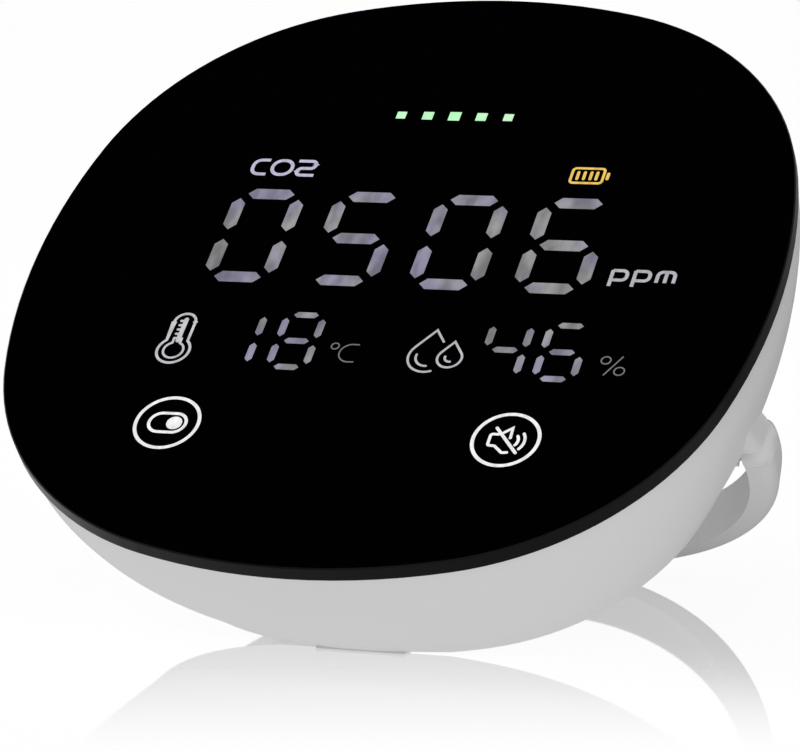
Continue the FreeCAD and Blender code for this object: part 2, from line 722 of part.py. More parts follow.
# ---------------------------------------------------------------- rear cover
cover_half = size("cover_width") / 2
back_rise = size("shell_back_rise")
cover_blank = outline_body("cover_blank", cover_half - size("cover_gap"), "cover_thickness",
                           cover_front, rise=back_rise)
cover_cuts = [rounded_slot(f"vent_{number}", "vent_length", "vent_width", "cover_thickness",
                           f"vent_lowest + {number} * vent_pitch", cover_front)
              for number in range(VENT_COUNT)]
cover_cuts.append(rounded_slot("usb_mouth", "usb_width + 2 * usb_gap", "usb_height + 2 * usb_gap",
                               "cover_thickness", "usb_rise", cover_front))
for side in (-1, 1):
    cover_cuts.append(rod(f"cover_hole_{side + 2}", "small_screw_radius + screw_clearance",
                          "cover_thickness", f"{side} * cover_screw_x", "usb_rise", cover_front))
    cover_cuts.append(rod(f"cover_seat_{side + 2}", "small_head_radius + screw_clearance",
                          "cover_thickness / 2", f"{side} * cover_screw_x", "usb_rise",
                          "shell_depth - cover_thickness / 2"))
minus("rear_cover", cover_blank, cover_cuts)
cover_pilot_end = "shell_depth - shell_back_wall + cover_screw_skin"
group("cover_screws", [screw(f"cover_screw_{side + 2}", f"{side} * cover_screw_x", "usb_rise",
                             "small_head_radius", "cover_thickness / 2", "small_screw_radius",
                             "shell_depth - cover_thickness / 2", cover_pilot_end)
                       for side in (-1, 1)])


# ---------------------------------------------------------------- loop stand
def limb_side(inset):
    """Where the loop's outline, drawn in by an inset, crosses the hinge line."""
    share = size("stand_head") / (size("stand_bend") - inset)
    return (size("stand_half_width") - inset) * math.sqrt(1 - share ** 2)


def loop_face(inset, top):
    """The area inside the loop's outline, hanging down Y from the hinge line and closed at `top`."""
    half = size("stand_half_width") - inset
    bend = size("stand_bend") - inset
    ellipse = Part.Ellipse(Vector(0, -bend, 0), Vector(half, 0, 0), Vector(0, 0, 0))
    reach = math.acos(size("stand_head") / bend)
    arc = Part.Arc(ellipse, -reach, reach).toShape()
    arc.translate(Vector(0, size("stand_head"), 0))
    side = limb_side(inset)
    lid = [Vector(side, top, 0), Vector(-side, top, 0)]
    if top:
        lid = [Vector(side, 0, 0)] + lid + [Vector(-side, 0, 0)]
    return Part.Face(Part.Wire([arc] + Part.makePolygon(lid).Edges))


def at_hinge(shape, swing):
    """A shape drawn about the origin, swung up by an angle and moved to the hinge."""
    shape.rotate(Vector(), Vector(1, 0, 0), swing)
    shape.translate(Vector(0, size("hinge_rise"), -size("hinge_depth")))
    return shape


def loop_prism(inset, top, low, high):
    """The loop's area as a solid square to the glass, between two heights about the hinge."""
    face = loop_face(inset, top)
    face.rotate(Vector(), Vector(1, 0, 0), 90)
    face.translate(Vector(0, low, 0))
    return face.extrude(Vector(0, high - low, 0))


def round_outer_edges(loop, height, radius):
    """The loop with its outer edges at one height rounded."""
    edges = [edge for edge in loop.Edges
             if abs(edge.BoundBox.YMin - height) < 1e-4 and abs(edge.BoundBox.YMax - height) < 1e-4
             and edge.BoundBox.XLength > 2 * limb_side(0) - 1e-3]
    return loop.makeFillet(radius, edges)


eye_inner = limb_side(size("stand_thickness"))
eye_outer = limb_side(0)


def rounded_arm(shape, side, radii):
    """A limb's end with the outer edges at the given heights rounded."""
    for height, radius in radii:
        edges = [edge for edge in shape.Edges
                 if abs(edge.BoundBox.XMin - side * eye_outer) < 1e-4
                 and abs(edge.BoundBox.XMax - side * eye_outer) < 1e-4
                 and abs(edge.BoundBox.YMin - height) < 1e-4 and edge.BoundBox.ZLength > 1]
        shape = shape.makeFillet(radius, edges)
    return shape


def stand_eye(side):
    """The round end of one limb, square to the hinge line."""
    eye = Part.makeCylinder(half_band, eye_outer - eye_inner, Vector(side * eye_inner, 0, 0),
                            Vector(side, 0, 0))
    eye = rounded_arm(eye, side, [(-half_band, size("eye_round"))])
    return solid(f"stand_eye_{side + 2}", at_hinge(eye, stand_swing))


loop_solid = loop_prism(0, 0, -half_band, half_band).cut(
    loop_prism(size("stand_thickness"), 1, -half_band - 1, half_band + 1))
loop_solid = round_outer_edges(loop_solid, half_band, size("stand_rear_round"))
loop_solid = round_outer_edges(loop_solid, -half_band, size("stand_front_round"))
loop_blank = solid("stand_loop_blank", at_hinge(loop_solid, stand_swing))
stand_cuts = [cross_rod(f"stand_bore_{side + 2}", "hinge_pin_radius + hinge_play", str(eye_inner),
                        f"{eye_outer - eye_inner} - hinge_pin_skin", side) for side in (-1, 1)]
stand_cuts += [cross_rod(f"stand_spot_face_{side + 2}", "stand_band / 2", "hinge_pin_inner",
                         f"{eye_inner} - hinge_pin_inner", side) for side in (-1, 1)]
stand_cuts.append(table_box("stand_foot_trim", size("glass_width"), size("glass_width") / 2,
                            -size("shell_depth"), size("stand_pad_thickness"), foot_y))
minus("stand_loop", union("stand_loop_body", [loop_blank, stand_eye(-1), stand_eye(1)]), stand_cuts)

flat_middle = foot_y + size("stand_flat_depth") / 2 * (
    math.tan(stand_slope) - 1 / math.tan(stand_slope))
table_box("stand_foot_pad", size("stand_pad_length"), size("stand_pad_width"), 0,
          size("stand_pad_thickness"), flat_middle)


def hinge_pin(name, side):
    """A headed pin, driven from inside the shell through its boss into the limb's eye."""
    shank = cross_rod(f"{name}_shank", "hinge_pin_radius", "hinge_pin_inner",
                      f"{eye_outer} - hinge_pin_skin - hinge_play - hinge_pin_inner", side)
    head = cross_rod(f"{name}_head", "hinge_head_radius", "hinge_pin_inner - hinge_head_height",
                     "hinge_head_height", side)
    return union(name, [shank, head])


group("hinge_pins", [hinge_pin("hinge_pin_left", -1), hinge_pin("hinge_pin_right", 1)])
core_inset = size("stand_thickness") + size("stand_gap")
boss_half = limb_side(core_inset)


def washer(name, side):
    """A spacer on the boss, beside the stand's eye."""
    disc = cross_rod(f"{name}_disc", "washer_radius", str(boss_half), "washer_thickness", side)
    hole = cross_rod(f"{name}_hole", "hinge_pin_radius", str(boss_half), "washer_thickness", side)
    return minus(name, disc, [hole])


group("hinge_washers", [washer("hinge_washer_left", -1), washer("hinge_washer_right", 1)])


# ---------------------------------------------------------------- rear shell
def shoulder(side):
    """The shell's fairing ahead of one limb, in line with the open stand."""
    inner = boss_half - size("shell_wall")
    block = Part.makeBox(eye_outer - inner, size("stand_band"), size("shoulder_length"),
                         Vector(min(side * inner, side * eye_outer), -half_band, 0))
    block = rounded_arm(block, side, [(half_band, size("eye_round")),
                                      (-half_band, size("stand_front_round"))])
    return solid(f"shoulder_{side + 2}", at_hinge(block, stand_swing))


def stand_room(inset, ledge, stop):
    """What the loop sweeps: outside its folded inner edge, behind a ledge, above the open limb."""
    reach = size("glass_width")
    above = at_hinge(Part.makeBox(2 * reach, reach, 2 * reach,
                                  Vector(-reach, -half_band - stop, -reach)), stand_swing)
    behind = Part.makeBox(2 * reach, 2 * reach, reach, Vector(-reach, -reach, -ledge - reach))
    folded = at_hinge(loop_prism(inset, reach, -reach, reach), 90)
    return above.common(behind).cut(folded)


ledge_depth = size("hinge_depth") - half_band - size("stand_gap")
wall = size("shell_wall")
dish_blank = union("dish_blank", [solid("dish_loft", outer_loft), shoulder(-1), shoulder(1)])
outside_cuts = [solid("stand_room", stand_room(core_inset, ledge_depth, 0))]
outside_cuts += [cross_rod(f"eye_room_{side + 2}", "stand_band / 2 + eye_gap", str(boss_half),
                           "eye_room_length", side) for side in (-1, 1)]
outside = minus("shell_outside", dish_blank, outside_cuts)
cavity = minus("shell_cavity", solid("cavity_blank", cavity_loft),
               [solid("stand_room_walls", stand_room(core_inset + wall, ledge_depth - wall, wall))])
hollow = minus("shell_hollow", outside, [cavity])

columns = corners("case_column", lambda name, x, y: rod(
    name, "case_column_radius", "shell_depth - case_post_end", x, y, "case_post_end"),
    "case_screw_x", "case_screw_top", "case_screw_bottom")
columns += corners("board_post", lambda name, x, y: rod(
    name, "board_post_radius", f"shell_depth - ({main_back})", x, y, main_back),
    board_screw_x, board_screw_y, board_screw_y)
columns += [cross_rod(f"hinge_boss_{side + 2}", "hinge_boss_radius", "hinge_pin_inner",
                      f"{boss_half} - hinge_pin_inner", side) for side in (-1, 1)]
inside_posts = common("shell_posts", union("shell_columns", columns), outside)
shell_blank = union("shell_blank", [hollow, inside_posts])

shell_cuts = corners("case_counterbore", lambda name, x, y: rod(
    name, "case_head_radius + screw_clearance", "shell_depth - case_seat_depth", x, y, "case_seat_depth"),
    "case_screw_x", "case_screw_top", "case_screw_bottom")
shell_cuts += corners("case_hole", lambda name, x, y: rod(
    name, "case_screw_radius + screw_clearance", "case_seat_depth - case_post_end", x, y,
    "case_post_end"), "case_screw_x", "case_screw_top", "case_screw_bottom")
shell_cuts += corners("board_pilot", lambda name, x, y: rod(
    name, "small_screw_radius", "board_screw_reach", x, y, main_back),
    board_screw_x, board_screw_y, board_screw_y)
shell_cuts += [cross_rod(f"pin_bore_{side + 2}", "hinge_pin_radius", "hinge_pin_inner",
                         f"{boss_half} - hinge_pin_inner", side) for side in (-1, 1)]
shell_cuts += [cross_rod(f"pin_head_room_{side + 2}", "hinge_head_radius + hinge_play",
                         "hinge_pin_inner - hinge_head_room", "hinge_head_room", side)
               for side in (-1, 1)]
shell_cuts += [rod(f"cover_pilot_{side + 2}", "small_screw_radius", "shell_back_wall - cover_screw_skin",
                   f"{side} * cover_screw_x", "usb_rise", cover_pilot_end)
               for side in (-1, 1)]
shell_cuts.append(outline_body("cover_recess", cover_half, "cover_thickness", cover_front,
                               rise=back_rise))
shell_cuts.append(outline_body("cover_opening", size("cover_opening_width") / 2, "shell_back_wall",
                               "shell_depth - shell_back_wall", rise=back_rise))
shell_cuts.append(table_box("shell_foot_trim", size("glass_width"), size("glass_width") / 2,
                            -size("shell_depth"), size("shell_flat_height"), 0))
shell_cuts.append(table_box("front_pad_pocket", size("front_pad_length"), size("front_pad_width"),
                            0, size("front_pad_thickness"), 0))
minus("rear_shell", shell_blank, shell_cuts)
table_box("front_foot_pad", size("front_pad_length"), size("front_pad_width"), 0,
          size("front_pad_thickness"), 0)

group("case_screws", corners("case_screw", lambda name, x, y: screw(
    name, x, y, "case_head_radius", "case_head_height", "case_screw_radius",
    "case_seat_depth", "case_screw_tip"), "case_screw_x", "case_screw_top", "case_screw_bottom"))

# ---------------------------------------------------------------- check, lean and write
NODES = [
    "front_glass", "co2_digits", "temperature_digits", "humidity_digits", "idle_segments",
    "level_windows", "touch_rings", "glass_tape", "front_frame", "diffuser_film", "light_block",
    "display_leds", "display_board", "display_screws", "touch_springs", "battery_pad",
    "battery_cell", "battery_plug", "main_board", "board_screws", "co2_sensor", "sensor_filter",
    "buzzer", "controller_chip", "board_parts", "humidity_sensor", "ribbon_sockets",
    "ribbon_cable", "usb_socket", "rear_shell", "rear_cover", "cover_screws", "case_screws",
    "hinge_pins", "hinge_washers", "stand_loop", "stand_foot_pad", "front_foot_pad",
]
DOC.recompute()
for item in DOC.Objects:
    if "Invalid" in item.State or "Error" in item.State:
        raise RuntimeError(f"{item.Label} failed to recompute: {item.State}")

os.makedirs("parts", exist_ok=True)
for name in NODES:
    item = DOC.getObject(name)
    item.Label = name
    item.Placement = LEANING.multiply(item.Placement)
DOC.recompute()
for name in NODES:
    shape = DOC.getObject(name).Shape
    if shape.isNull() or not shape.isValid() or not shape.Solids:
        raise RuntimeError(f"{name} has no valid solid")
    shape.exportStep(f"parts/{name}.step")
    corner = shape.BoundBox
    print(f"{name}: {len(shape.Solids)} solids, {shape.Volume:.1f} mm3, "
          f"z {corner.ZMin:.2f} to {corner.ZMax:.2f}")

print(f"hinge axis through y {hinge_point.y:.3f}, z {hinge_point.z:.3f}")
print(f"stand foot at y {foot_y:.3f}, swing from open to folded {90 - stand_swing:.2f} degrees")
print(f"glass centre at y {LEANING.Base.y:.3f}, z {LEANING.Base.z:.3f}")
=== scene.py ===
"""Looks of the carbon dioxide monitor: finishes, lit symbols, floor, light and camera.

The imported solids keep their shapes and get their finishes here. The lit lettering and signs are
thin pieces on the front of the glass, drawn in the panel frame: millimetres to the right, up the
glass and out of it, from the centre of the glass's front face.
"""

import json
import logging
import math
from collections.abc import Mapping, Sequence
from dataclasses import dataclass, field
from enum import Enum
from typing import ClassVar, TypeAlias

import bpy
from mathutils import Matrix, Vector

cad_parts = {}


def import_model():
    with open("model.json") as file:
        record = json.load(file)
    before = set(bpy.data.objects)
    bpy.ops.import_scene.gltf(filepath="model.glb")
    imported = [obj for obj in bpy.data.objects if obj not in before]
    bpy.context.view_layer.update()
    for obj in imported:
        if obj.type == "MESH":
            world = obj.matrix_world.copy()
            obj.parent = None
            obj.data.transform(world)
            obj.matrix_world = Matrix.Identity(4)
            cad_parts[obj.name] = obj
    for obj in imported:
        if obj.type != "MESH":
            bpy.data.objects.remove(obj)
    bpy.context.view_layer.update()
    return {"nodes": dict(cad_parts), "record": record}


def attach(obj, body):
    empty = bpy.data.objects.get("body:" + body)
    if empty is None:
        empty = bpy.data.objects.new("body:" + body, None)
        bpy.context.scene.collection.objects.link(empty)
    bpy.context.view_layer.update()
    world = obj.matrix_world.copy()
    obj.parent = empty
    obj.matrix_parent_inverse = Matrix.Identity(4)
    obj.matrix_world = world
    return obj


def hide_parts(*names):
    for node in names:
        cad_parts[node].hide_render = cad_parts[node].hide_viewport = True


LOG = logging.getLogger("monitor")
MM = 0.001
ART_DROP = 0.58                     # the signs' own middle sits this far below the glass's, in mm
GLOSSIEST = 0.02                    # no finish's roughness goes below this
SAME_POINT = 1e-6                   # two points this near are one, in mm
SHARPEST = 0.5                      # a stroke's corners are widened as if no sharper than this
ROUND_END_TURNS = (75, 45, 15)      # the degrees of the points of a stroke's round end
MIX_FACTOR, MIX_FIRST, MIX_SECOND, MIX_RESULT = 0, 6, 7, 2      # a Mix node's colour sockets

Point: TypeAlias = tuple[float, float]
Path: TypeAlias = list[Point]
Colour: TypeAlias = tuple[float, float, float]
Feed: TypeAlias = "Wire | float | int | tuple[float, ...]"

WHITE: Colour = (1.0, 1.0, 1.0)


class Body(Enum):
    """The two moving bodies of the monitor."""

    HOUSING = "housing"
    STAND = "stand"


class Ends(Enum):
    """How an open stroke ends."""

    ROUND = "round"
    FLAT = "flat"


class Key(Enum):
    """The two touch keys, each by the side of the glass that it is on."""

    SWITCH = -1
    MUTE = 1


def light(red: float, green: float, blue: float) -> Colour:
    """A colour written as a display shows it, 0 to 255, turned into linear light.

    Args:
        red: Red as displayed.
        green: Green as displayed.
        blue: Blue as displayed.

    Returns:
        The same colour in linear light, 0 to 1.
    """
    parts = []
    for shown in (red, green, blue):
        share = shown / 255
        parts.append(share / 12.92 if share <= 0.04045 else ((share + 0.055) / 1.055) ** 2.4)
    return (parts[0], parts[1], parts[2])


def scaled(colour: Colour, factor: float) -> Colour:
    """A linear colour made lighter or darker by a factor."""
    return (colour[0] * factor, colour[1] * factor, colour[2] * factor)


# ------------------------------------------------------------------ shader maths
class Wire:
    """An output socket that takes part in shader maths."""

    def __init__(self, sheet: "Sheet", socket: bpy.types.NodeSocket) -> None:
        """Wraps a socket of a sheet's tree."""
        self.sheet = sheet
        self.socket = socket

    def _combine(self, operation: str, left: Feed, right: Feed) -> "Wire":
        """Adds the node of one operation on two feeds, by the kinds of their sockets.

        Args:
            operation: The operation's name, which the Math, Vector Math and Mix nodes share.
            left: The first feed.
            right: The second feed.

        Returns:
            The node's result.
        """
        kinds = {side.socket.type for side in (left, right) if isinstance(side, Wire)}
        if "RGBA" in kinds:
            return self._mix(operation, 1.0, left, right)
        if "VECTOR" in kinds:
            sockets = {0: self._as_vector(left), 1: self._as_vector(right)}
            return self.sheet.node("ShaderNodeVectorMath", {"operation": operation}, sockets)
        return self.sheet.node("ShaderNodeMath", {"operation": operation}, {0: left, 1: right})

    def _mix(self, kind: str, factor: Feed, first: Feed, second: Feed) -> "Wire":
        """Adds a colour Mix node.

        Args:
            kind: The blend's name, as the node has it.
            factor: How much of the second colour is laid over the first.
            first: The first colour.
            second: The second colour.

        Returns:
            The mixed colour.
        """
        settings = {"data_type": "RGBA", "blend_type": kind}
        sockets = {MIX_FACTOR: factor, MIX_FIRST: self._as_colour(first),
                   MIX_SECOND: self._as_colour(second)}
        return self.sheet.node("ShaderNodeMix", settings, sockets, out=MIX_RESULT)

    @staticmethod
    def _as_colour(side: Feed) -> Feed:
        """A plain number as a grey."""
        return (side, side, side, 1.0) if isinstance(side, (int, float)) else side

    @staticmethod
    def _as_vector(side: Feed) -> Feed:
        """A plain number as a vector of equal parts."""
        return (side, side, side) if isinstance(side, (int, float)) else side

    def __add__(self, other: Feed) -> "Wire":
        """self + other."""
        return self._combine("ADD", self, other)

    def __radd__(self, other: Feed) -> "Wire":
        """other + self."""
        return self._combine("ADD", other, self)

    def __sub__(self, other: Feed) -> "Wire":
        """self - other."""
        return self._combine("SUBTRACT", self, other)

    def __rsub__(self, other: Feed) -> "Wire":
        """other - self."""
        return self._combine("SUBTRACT", other, self)

    def __mul__(self, other: Feed) -> "Wire":
        """self * other."""
        return self._combine("MULTIPLY", self, other)

    def __rmul__(self, other: Feed) -> "Wire":
        """other * self."""
        return self._combine("MULTIPLY", other, self)

    def __truediv__(self, other: Feed) -> "Wire":
        """self / other."""
        return self._combine("DIVIDE", self, other)

    def __rtruediv__(self, other: Feed) -> "Wire":
        """other / self."""
        return self._combine("DIVIDE", other, self)

    def smooth(self, start: float, end: float) -> "Wire":
        """A smooth step of this value.

        Args:
            start: The value that gives 0.
            end: The value that gives 1; it may be below the start.

        Returns:
            The stepped value, 0 to 1.
        """
        low, high = min(start, end), max(start, end)
        settings = {"interpolation_type": "SMOOTHSTEP", "clamp": True}
        sockets = {"Value": self, "From Min": low, "From Max": high}
        step = self.sheet.node("ShaderNodeMapRange", settings, sockets)
        return step if start < end else 1 - step

    def between(self, low: float, high: float) -> "Wire":
        """This value, 0 to 1, spread over a range."""
        return self * (high - low) + low

    def blend(self, first: Feed, second: Feed) -> "Wire":
        """The first colour where this value is 0 and the second where it is 1."""
        return self._mix("MIX", self, first, second)


class Sheet:
    """One material's or world's node tree, cleared and ready to be wired."""

    def __init__(self, owner: bpy.types.Material | bpy.types.World) -> None:
        """Clears the owner's tree."""
        in_world = isinstance(owner, bpy.types.World)
        self.ending = "ShaderNodeOutputWorld" if in_world else "ShaderNodeOutputMaterial"
        owner.use_nodes = True
        self.tree = owner.node_tree
        self.tree.nodes.clear()

    def node(self, kind: str, settings: Mapping[str, object] | None = None,
             sockets: Mapping[str | int, Feed] | None = None, out: str | int = 0) -> Wire:
        """Adds any node.

        Args:
            kind: The node's type.
            settings: Its settings, set first; `stops` holds a ramp's (place, colour) pairs.
            sockets: What its input sockets take, by name or index.
            out: The output that is wanted, by name or index.

        Returns:
            That output.
        """
        made = self.tree.nodes.new(kind)
        for name, value in (settings or {}).items():
            if name == "stops":
                self._set_stops(made.color_ramp, value)
            else:
                setattr(made, name, value)
        for place, feed in (sockets or {}).items():
            socket = made.inputs[place]
            if isinstance(feed, Wire):
                self.tree.links.new(feed.socket, socket)
            elif isinstance(feed, tuple) and socket.type == "RGBA":
                socket.default_value = (*feed[:3], 1.0)
            else:
                socket.default_value = feed
        return Wire(self, made.outputs[out])

    @staticmethod
    def _set_stops(ramp: bpy.types.ColorRamp, stops: Sequence[tuple[float, Colour]]) -> None:
        """Gives a colour ramp its stops."""
        while len(ramp.elements) < len(stops):
            ramp.elements.new(1.0)
        for element, (place, colour) in zip(ramp.elements, stops):
            element.position = place
            element.color = (*colour, 1.0)

    def place(self, stretch: tuple[float, float, float] = (1.0, 1.0, 1.0)) -> Wire:
        """The point on the piece in object coordinates, stretched per axis."""
        return self.node("ShaderNodeTexCoord", out="Object") * stretch

    def noise(self, size: float, detail: float = 3.0, rough: float = 0.5,
              stretch: tuple[float, float, float] = (1.0, 1.0, 1.0)) -> Wire:
        """Noise of a size in metres, 0 to 1.

        Args:
            size: Distance over which the noise changes.
            detail: How many finer octaves lie on it.
            rough: How strong they are.
            stretch: How much faster it changes along each axis.

        Returns:
            The noise's value.
        """
        sockets = {"Vector": self.place(stretch), "Scale": 1 / size, "Detail": detail,
                   "Roughness": rough}
        return self.node("ShaderNodeTexNoise", None, sockets)

    def cells(self, size: float) -> Wire:
        """Distance to the nearest of many scattered points, in cells of a size in metres."""
        sockets = {"Vector": self.place(), "Scale": 1 / size}
        return self.node("ShaderNodeTexVoronoi", None, sockets)

    def bump(self, height: Wire, distance: float) -> Wire:
        """A normal bumped by a height of 0 to 1 times a distance in metres."""
        return self.node("ShaderNodeBump", None, {"Distance": distance, "Height": height})

    def surface(self, shader: Wire) -> None:
        """Ends the tree in this surface shader."""
        end = self.tree.nodes.new(self.ending)
        self.tree.links.new(shader.socket, end.inputs["Surface"])


# ------------------------------------------------------------------ finishes
@dataclass(frozen=True)
class Finish:
    """A finish for one of the record's material slots: how it looks, and its fine detail."""

    slot: str
    colour: Colour
    roughness: float
    fleck: float = 0.04             # how far the colour wanders, as a share
    fleck_size: float = 0.006
    unevenness: float = 0.05        # how far the roughness wanders
    grain_size: float = 0.0006
    grain_height: float = 0.00001
    made: ClassVar[dict[str, bpy.types.Material]] = {}

    def material(self) -> bpy.types.Material:
        """The finish as a material, made the first time it is asked for."""
        if self.slot not in self.made:
            material = bpy.data.materials.new(self.slot)
            sheet = Sheet(material)
            sheet.surface(self.shade(sheet))
            material.diffuse_color = (*self.colour, 1.0)
            self.made[self.slot] = material
        return self.made[self.slot]

    def tone(self, sheet: Sheet) -> Wire:
        """The colour over the surface."""
        wander = sheet.noise(self.fleck_size)
        return wander.blend(scaled(self.colour, 1 - self.fleck), scaled(self.colour, 1 + self.fleck))

    def gloss(self, sheet: Sheet) -> Wire:
        """The roughness over the surface."""
        return sheet.noise(self.fleck_size / 2, detail=4).between(
            max(self.roughness - self.unevenness, GLOSSIEST), self.roughness + self.unevenness)

    def relief(self, sheet: Sheet) -> Wire:
        """The fine bumps over the surface, 0 to 1."""
        return sheet.noise(self.grain_size, detail=2)

    def varied(self, sheet: Sheet) -> dict[str, Feed]:
        """Shader sockets that change over the surface."""
        return {"Base Color": self.tone(sheet), "Roughness": self.gloss(sheet),
                "Normal": sheet.bump(self.relief(sheet), self.grain_height)}

    def fixed(self) -> dict[str, Feed]:
        """Shader sockets that are the same all over."""
        return {}

    def shade(self, sheet: Sheet) -> Wire:
        """Wires the finish's surface shader."""
        sockets = {**self.varied(sheet), **self.fixed()}
        return sheet.node("ShaderNodeBsdfPrincipled", None, sockets)


@dataclass(frozen=True)
class Plastic(Finish):
    """Moulded plastic with a faint grain."""

    specular: float = 0.5

    def fixed(self) -> dict[str, Feed]:
        """A plastic's own reflectance."""
        return {"Specular IOR Level": self.specular}


@dataclass(frozen=True)
class PanelGlass(Finish):
    """Tinted, polished glass."""

    unevenness: float = 0.02
    fleck_size: float = 0.03
    grain_size: float = 0.004
    grain_height: float = 0.000001
    specular: float = 0.1

    def fixed(self) -> dict[str, Feed]:
        """The glass's reflectance."""
        return {"Specular IOR Level": self.specular}


@dataclass(frozen=True)
class Metal(Finish):
    """Plated or bare metal, with fine scratches along one axis."""

    scratch: tuple[float, float, float] = (1.0, 12.0, 12.0)

    def relief(self, sheet: Sheet) -> Wire:
        """Fine scratches."""
        return sheet.noise(self.grain_size, detail=3, stretch=self.scratch)

    def fixed(self) -> dict[str, Feed]:
        """Metal all over."""
        return {"Metallic": 1.0}


@dataclass(frozen=True)
class Foam(Finish):
    """Cellular foam or soft rubber with a pitted skin."""

    pit_size: float = 0.0012
    pit_rim: tuple[float, float] = (0.15, 0.7)

    def relief(self, sheet: Sheet) -> Wire:
        """Pits between the cells."""
        return sheet.cells(self.pit_size).smooth(*self.pit_rim)


@dataclass(frozen=True)
class CircuitBoard(Finish):
    """Solder mask over copper tracks."""

    track: Colour = (0.05, 0.25, 0.08)
    track_size: float = 0.004
    track_edge: tuple[float, float] = (0.34, 0.44)

    def tracks(self, sheet: Sheet) -> Wire:
        """Where copper runs under the mask, 0 to 1."""
        sockets = {"Vector": sheet.place(), "Scale": 1 / self.track_size}
        settings = {"feature": "F1", "distance": "MANHATTAN"}
        return sheet.node("ShaderNodeTexVoronoi", settings, sockets).smooth(*self.track_edge)

    def tone(self, sheet: Sheet) -> Wire:
        """The mask, lighter over the tracks."""
        return self.tracks(sheet).blend(self.colour, self.track)

    def relief(self, sheet: Sheet) -> Wire:
        """The tracks' height."""
        return self.tracks(sheet)


@dataclass(frozen=True)
class LitWindow(Finish):
    """A window of the glass with a lamp and a streaky diffuser behind it."""

    warm: Colour = (0.255, 0.255, 0.255)
    cool: Colour = (0.225, 0.215, 0.3)
    patch_size: float = 0.011
    patch_edge: tuple[float, float] = (0.38, 0.62)
    streak_size: float = 0.0026
    streak_edge: tuple[float, float] = (0.25, 0.75)
    streak_stretch: tuple[float, float, float] = (1.0, 0.45, 0.45)
    darkest: float = 0.55
    lightest: float = 1.25
    specular: float = 0.1

    def glow(self, sheet: Sheet) -> Wire:
        """The light that comes through: patches of two tints, crossed by streaks."""
        patch = sheet.noise(self.patch_size, detail=1).smooth(*self.patch_edge)
        streak = sheet.noise(self.streak_size, detail=2, stretch=self.streak_stretch)
        level = streak.smooth(*self.streak_edge).between(self.darkest, self.lightest)
        return patch.blend(self.warm, self.cool) * level

    def varied(self, sheet: Sheet) -> dict[str, Feed]:
        """The surface's own sockets and the light that it gives."""
        return {**super().varied(sheet), "Emission Color": self.glow(sheet)}

    def fixed(self) -> dict[str, Feed]:
        """The light's strength and the polish of the glass."""
        return {"Emission Strength": 1.0, "Specular IOR Level": self.specular}


class Finishes(Enum):
    """Every finish of the monitor, by the record's slot."""

    BLACK_GLASS = PanelGlass("black_glass", light(1, 1, 1), 0.07)
    LIT_WINDOW = LitWindow("lit_window", light(60, 60, 66), 0.2)
    DARK_WINDOW = PanelGlass("dark_window", light(1, 1, 1), 0.07)
    GREEN_WINDOW = LitWindow("green_window", light(40, 60, 40), 0.2, warm=light(206, 250, 205),
                             cool=light(190, 252, 198), darkest=0.9, lightest=1.05)
    WHITE_PRINT = LitWindow("white_print", light(90, 90, 92), 0.3, warm=light(232, 232, 232),
                            cool=light(226, 226, 238), darkest=0.85, lightest=1.05)
    BLACK_TAPE = Foam("black_tape", light(24, 24, 25), 0.7, pit_size=0.0008)
    BLACK_PLASTIC = Plastic("black_plastic", light(28, 28, 30), 0.5, grain_height=0.00002)
    WHITE_FILM = Plastic("white_film", light(226, 226, 224), 0.45)
    WHITE_PLASTIC = Plastic("white_plastic", light(222, 222, 220), 0.5)
    LAMP = Plastic("lamp", light(232, 214, 140), 0.3)
    BLACK_BOARD = CircuitBoard("black_board", light(20, 21, 24), 0.35, track=light(36, 38, 42),
                               grain_height=0.00003)
    GREEN_BOARD = CircuitBoard("green_board", light(18, 84, 46), 0.35, track=light(34, 112, 64),
                               grain_height=0.00003)
    SCREW_STEEL = Metal("screw_steel", light(176, 178, 182), 0.3)
    SPRING_STEEL = Metal("spring_steel", light(190, 192, 196), 0.22)
    FOAM = Foam("foam", light(52, 52, 54), 0.9, grain_height=0.00015)
    BATTERY_FOIL = Plastic("battery_foil", light(190, 193, 198), 0.32, grain_size=0.003,
                           grain_height=0.00006)
    SENSOR_BRASS = Metal("sensor_brass", light(206, 176, 110), 0.28)
    CHIP_PLASTIC = Plastic("chip_plastic", light(34, 34, 36), 0.6, grain_height=0.00002)
    SOCKET_STEEL = Metal("socket_steel", light(200, 201, 204), 0.2)
    SHELL_WHITE = Plastic("shell_white", light(228, 228, 229), 0.42, fleck=0.012,
                          fleck_size=0.02, unevenness=0.04, grain_size=0.0005,
                          grain_height=0.000006, specular=0.4)
    PIN_STEEL = Metal("pin_steel", light(182, 184, 188), 0.25)
    WASHER_PLASTIC = Plastic("washer_plastic", light(204, 204, 202), 0.5)
    FOOT_RUBBER = Foam("foot_rubber", light(206, 206, 206), 0.8, grain_height=0.00004)


@dataclass(frozen=True)
class SymbolLight(LitWindow):
    """The light of one lit sign; its name isn't a slot of the record."""

    patch_size: float = 0.004
    streak_size: float = 0.0009
    darkest: float = 0.82
    lightest: float = 1.1
    unlit: ClassVar[float] = 0.1    # the sign's own colour, as a share of its light's
    weaker: ClassVar[float] = 0.94  # the light's dimmer patches, as a share
    sheen: ClassVar[float] = 0.3    # the sign's roughness

    @classmethod
    def shown(cls, name: str, red: float, green: float, blue: float) -> "SymbolLight":
        """A sign's light from its displayed colour."""
        colour = light(red, green, blue)
        return cls(name, scaled(colour, cls.unlit), cls.sheen, warm=colour,
                   cool=scaled(colour, cls.weaker))


